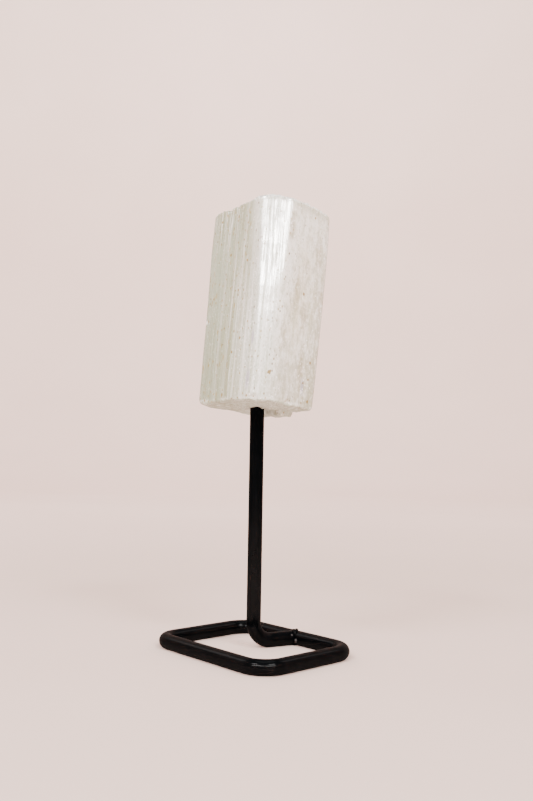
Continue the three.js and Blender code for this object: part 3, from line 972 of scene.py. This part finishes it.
def end_tones(tree, m, colour):
    """A worn pale rim at the bottom, the dull patchy underside, a warm band of painted shade below the
    crown and a painted highlight along the crown's edge.
    """
    colour = tint(tree, colour, MILKY, 0.6, fade(tree, m.ragged_height, 0.8, 0.5),
                  ramp(tree, m.clouds, 0.42, 0.55))
    patchy = tint(tree, UNDER_TONE, WARM, 0.8, ramp(tree, m.mottle, 0.50, 0.38))
    patchy = tint(tree, patchy, MILKY, 0.5, ramp(tree, m.mottle, 0.54, 0.66))
    colour = tint(tree, colour, patchy, 0.85, fade(tree, m.ragged_height, 0.3, 0.0))
    # Painted shade: a warm darker band below the crown, away from the cut corner
    off_corner = maths(tree, "SUBTRACT", 1.0, m.milky)
    colour = tint(tree, colour, WARM, 0.45, fade(tree, m.ragged_height, 44.7, 46.4), off_corner)
    # Painted highlight: a pale rim along the crown's edge
    return tint(tree, colour, MILKY, 0.7, fade(tree, m.ragged_height, 46.8, 47.4))


def speck_tones(tree, m, colour):
    """Small rusty specks all over, and drawn-out ones in the stained bands."""
    specks, kind = spots(tree, m.place, (1420, 1420, 760), 0.28, 0.42)
    rusty = mix(tree, ramp(tree, kind, 0.3, 0.7), RUST, MUSTARD)
    faint = maths(tree, "ADD", share_of(tree, 0.35, ramp(tree, m.mottle, 0.42, 0.54)), 0.65)
    colour = tint(tree, colour, rusty, 1.0, faint, specks, ramp(tree, m.clouds, 0.30, 0.42))
    streaks, _ = spots(tree, m.place, (1300, 1300, 300), 0.27, 0.35)
    return tint(tree, colour, MUSTARD, 0.8, streaks, m.on_left, ramp(tree, m.bands, 0.60, 0.48))


def mark_tones(tree, m, colour):
    """Greyish patches, larger rusty flecks, white glints and white bruises where the stone is broken."""
    patch = near_points(tree, m.place, DULL_PATCHES, 4.5)
    fleck = maths(tree, "ADD", near_points(tree, m.place, FLECKS, 1.5), share_of(tree, 0.8, m.grain))
    bruise = maths(tree, "ADD", near_points(tree, m.place, BRUISES, 1.2), share_of(tree, 0.9, m.grain))
    glints, _ = spots(tree, m.place, (1500, 1500, 1100), 0.29, 0.48)
    seen = maths(tree, "SUBTRACT", 0.9, share_of(tree, 0.6, m.on_left))
    colour = speck_tones(tree, m, tint(tree, colour, MAUVE, 0.7, ramp(tree, patch, 1.1, 0.5)))
    colour = tint(tree, colour, FLECK_TONE, 0.95, ramp(tree, fleck, 1.60, 1.15))
    colour = tint(tree, colour, WHITE, 1.0, glints, seen)
    return tint(tree, colour, WHITE, 1.0, ramp(tree, bruise, 1.5, 1.0))


def stone_gloss(tree, m, shader):
    """The broken ends are dull, and the silky gloss is strongest round the cut front corner."""
    on_face = fade(tree, m.ragged_height, 0.0, 0.5)
    streaky = maths(tree, "ADD", share_of(tree, 0.88, ramp(tree, m.threads, 0.42, 0.55)), 0.12)
    higher_up = maths(tree, "ADD", share_of(tree, 0.70, fade(tree, m.height, 14, 33)), 0.30)
    at_corner = maths(tree, "ADD", share_of(tree, 0.75, m.milky), 0.25)
    silky = share_of(tree, 1.0, on_face, streaky, higher_up, at_corner)
    tree.links.new(silky, shader.inputs["Coat Weight"])
    rough = maths(tree, "SUBTRACT", 0.9, share_of(tree, 0.55, on_face))
    rough = maths(tree, "SUBTRACT", rough, share_of(tree, 0.20, ramp(tree, m.threads, 0.35, 0.65)))
    tree.links.new(rough, shader.inputs["Roughness"])
    set_values(shader, STONE_VALUES)


def selenite_material():
    material, tree, shader = new_material("selenite_silky")
    m = stone_masks(tree)
    colour = side_tones(tree, m)
    for tones in (left_tones, rear_tones, thread_tones, mottled_tones, end_tones, mark_tones):
        colour = tones(tree, m, colour)
    tree.links.new(colour, shader.inputs["Base Color"])
    stone_gloss(tree, m, shader)
    relief = maths(tree, "ADD", share_of(tree, 1.0, m.threads, m.fibrous), share_of(tree, 0.5, m.grain))
    add_bump(tree, shader, relief, 0.8, 0.1 * MM)
    return material


def paint_material():
    """Nearly black paint, thin on the weld, that reflects a little on the lower part of the stand."""
    material, tree, shader = new_material("black_paint")
    place, (_, _, height) = object_place(tree)
    mottle = noise(tree, place, 420, 3.0, 0.55)
    grains = noise(tree, place, 2600, 2.0, 0.5)
    colour = mix(tree, ramp(tree, mottle, 0.4, 0.7), PAINT_DARK, PAINT_PALE)
    bare_points = [
        (*(weld_place(along, turn, out) + BASE_MIDDLE), radius)
        for along, turn, out, radius in BARE_SPOTS
    ]
    bare = maths(tree, "ADD", near_points(tree, place, bare_points, 1.0), share_of(tree, 0.5, grains))
    colour = tint(tree, colour, BARE_TONE, 1.0, ramp(tree, bare, 1.3, 0.8))
    tree.links.new(colour, shader.inputs["Base Color"])
    rough = maths(tree, "ADD", share_of(tree, 0.20, mottle), 0.42)
    tree.links.new(rough, shader.inputs["Roughness"])
    on_post = maths(tree, "ADD", share_of(tree, 0.4, fade(tree, height, 3.5, 8.0)), 0.6)
    low = share_of(tree, 0.028, on_post, fade(tree, height, 34, 14))
    tree.links.new(maths(tree, "ADD", low, 0.005), shader.inputs["Coat Weight"])
    set_values(shader, PAINT_VALUES)
    relief = maths(tree, "ADD", mottle, share_of(tree, 0.25, grains))
    add_bump(tree, shader, relief, 0.4, 0.06 * MM)
    return material


def studio_material():
    material, tree, shader = new_material("studio_paper")
    place, _ = object_place(tree)
    soft = noise(tree, place, 6.0, 2.0, 0.5)
    colour = mix(tree, ramp(tree, soft, 0.3, 0.7), PAPER_DARK, PAPER_PALE)
    # Painted shade: the floor is darker near the middle, round the stand
    length = add(tree, "ShaderNodeVectorMath", operation="LENGTH")
    tree.links.new(place, length.inputs[0])
    painted_floor_shade = fade(tree, length.outputs["Value"], 450, 100)
    tree.links.new(tint(tree, colour, PAPER_SHADE_NEAR, 0.9, painted_floor_shade), shader.inputs["Base Color"])
    set_values(shader, PAPER_VALUES)
    return material


def build_studio():
    """Round pale floor that curves up into a wall all round."""
    profile = [(radius, 0.0) for radius in FLOOR_RADII]
    for step in range(1, COVE_STEPS + 1):
        turn = step / COVE_STEPS * math.pi / 2
        reach = FLOOR_RADII[-1] + COVE_RADIUS * math.sin(turn)
        profile.append((reach, COVE_RADIUS * (1 - math.cos(turn))))
    profile.append((FLOOR_RADII[-1] + COVE_RADIUS, WALL_HEIGHT))
    angle = np.arange(STUDIO_SIDES) / STUDIO_SIDES * 2 * math.pi
    loops = [
        np.stack([np.cos(angle) * radius, np.sin(angle) * radius, np.full(STUDIO_SIDES, height)], axis=-1)
        for radius, height in reversed(profile)
    ]
    bowl = skin("studio_bowl", loops, False, capped=False)
    middle = new_object("studio_middle", loops[-1], [list(range(STUDIO_SIDES))])
    for obj in (bowl, middle):
        obj.data.materials.append(studio)


def area_light(name, place, aim, width, height, power, colour):
    light = bpy.data.lights.new(name, "AREA")
    light.shape = "ELLIPSE" if width == height else "RECTANGLE"
    light.size = width
    light.size_y = height
    light.energy = power
    light.color = colour
    obj = bpy.data.objects.new(name, light)
    obj.location = place
    obj.rotation_euler = (Vector(aim) - Vector(place)).to_track_quat("-Z", "Y").to_euler()
    bpy.context.scene.collection.objects.link(obj)


def light_scene():
    for values in LIGHTS:
        area_light(*values)
    world = bpy.data.worlds.new("studio_world")
    world.use_nodes = True
    background = world.node_tree.nodes["Background"]
    background.inputs[0].default_value = (*WORLD_TONE, 1)
    background.inputs[1].default_value = WORLD_STRENGTH
    bpy.context.scene.world = world


def build_camera():
    data = bpy.data.cameras.new("photo_camera")
    data.sensor_fit = "VERTICAL"
    data.sensor_height = 36.0
    data.lens = FOCAL_PIXELS * data.sensor_height / PHOTO_HEIGHT
    data.clip_start = 10 * MM
    camera = bpy.data.objects.new("photo_camera", data)
    look = toward(LOOK)
    right = toward(CAMERA_RIGHT - look * (CAMERA_RIGHT @ look))
    camera.matrix_world = turned((right, np.cross(right, look), -look), BASE_MIDDLE + EYE)
    bpy.context.scene.collection.objects.link(camera)
    bpy.context.scene.camera = camera


stone = selenite_material()
paint = paint_material()
studio = studio_material()

block = build_block()
block.data.materials.append(stone)
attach(block, "root")
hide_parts("selenite")

ring = build_base()
ring.data.materials.append(paint)
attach(ring, "root")
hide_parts("base_frame")

for piece in [build_post()] + build_weld():
    piece.data.materials.append(paint)
    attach(piece, "root")
    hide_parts("post")

build_studio()
light_scene()
build_camera()
